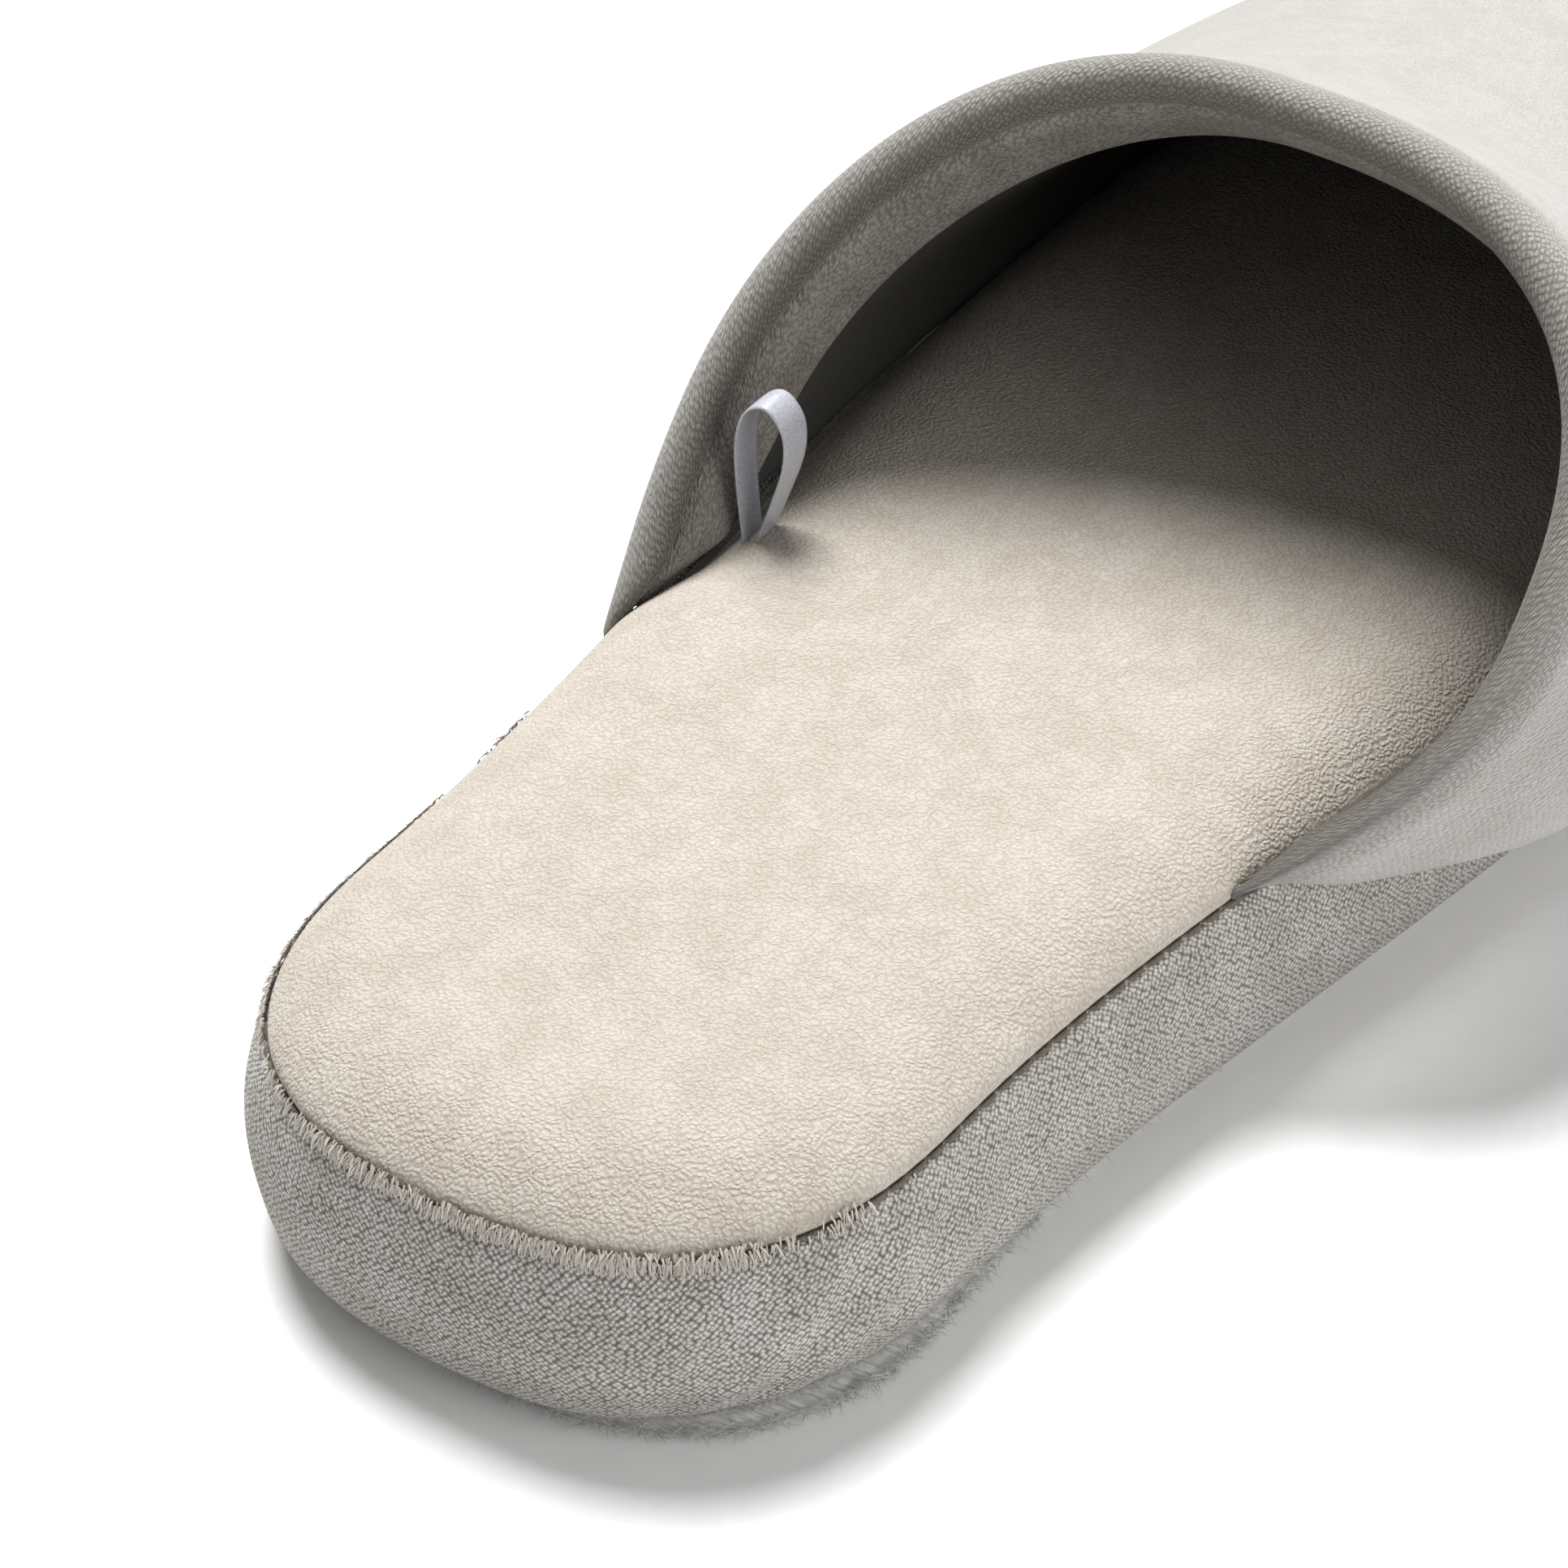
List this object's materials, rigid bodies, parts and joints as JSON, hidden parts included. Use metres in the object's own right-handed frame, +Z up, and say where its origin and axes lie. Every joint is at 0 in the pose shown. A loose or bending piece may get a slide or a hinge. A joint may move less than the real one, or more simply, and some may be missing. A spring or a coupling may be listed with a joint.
{
  "type": "spa slipper",
  "caption": "Open-backed padded spa slipper with a tall closed vamp, cushioned footbed, cloth sidewall, felt sole and ribbon hanging loop.",
  "frame": {"origin": "under the middle of the slipper's box, on the face it stands on", "axes": "+Y from heel to toe, +X to the lateral side of a right foot, +Z up"},
  "size_m": [0.117, 0.2684, 0.0804],
  "materials": {
    "sole_felt": "needle-punched grey felt with loose fibres",
    "foam": "open-cell white foam",
    "board": "pressed fibre board",
    "footbed_velour": "brushed short-pile velour, warm cream",
    "sidewall_velour": "stretched velour with its ground weave showing",
    "vamp_velour": "short-pile velour, light warm grey",
    "lining": "dark plain knitted lining",
    "stiffener": "thin heat-formed sheet",
    "thread": "spun sewing thread",
    "tape": "cotton binding tape",
    "ribbon": "white satin ribbon"
  },
  "bodies": {
    "front": {"outsole_felt_front": "sole_felt", "midsole_foam_front": "foam", "insole_board_front": "board", "footbed_cushion_front": "foam", "footbed_cover_front": "footbed_velour", "sidewall_cloth_front": "sidewall_velour", "top_seam_thread_front": "thread", "vamp_shell": "vamp_velour", "vamp_padding": "foam", "toe_puff": "stiffener", "vamp_lining": "lining", "rim_hem": "vamp_velour", "rim_hem_thread": "thread", "vamp_seam_tape": "tape", "loop_tack": "thread"},
    "heel": {"outsole_felt_heel": "sole_felt", "midsole_foam_heel": "foam", "insole_board_heel": "board", "footbed_cushion_heel": "foam", "footbed_cover_heel": "footbed_velour", "sidewall_cloth_heel": "sidewall_velour", "top_seam_thread_heel": "thread"},
    "loop": {"hanging_loop": "ribbon"}
  },
  "joints": [
    {"name": "heel_flex", "type": "hinge", "parent": "front", "child": "heel", "pos_m": [0, -0.075, 0.031], "axis": [-1, 0, 0], "range_deg": [0, 28], "stiffness_Nm_per_rad": 0.8},
    {"name": "loop_swing", "type": "hinge", "parent": "front", "child": "loop", "pos_m": [-0.04242, -0.031, 0.0258], "axis": [0, 1, 0], "range_deg": [-2, 20], "stiffness_Nm_per_rad": 0.0004}
  ]
}
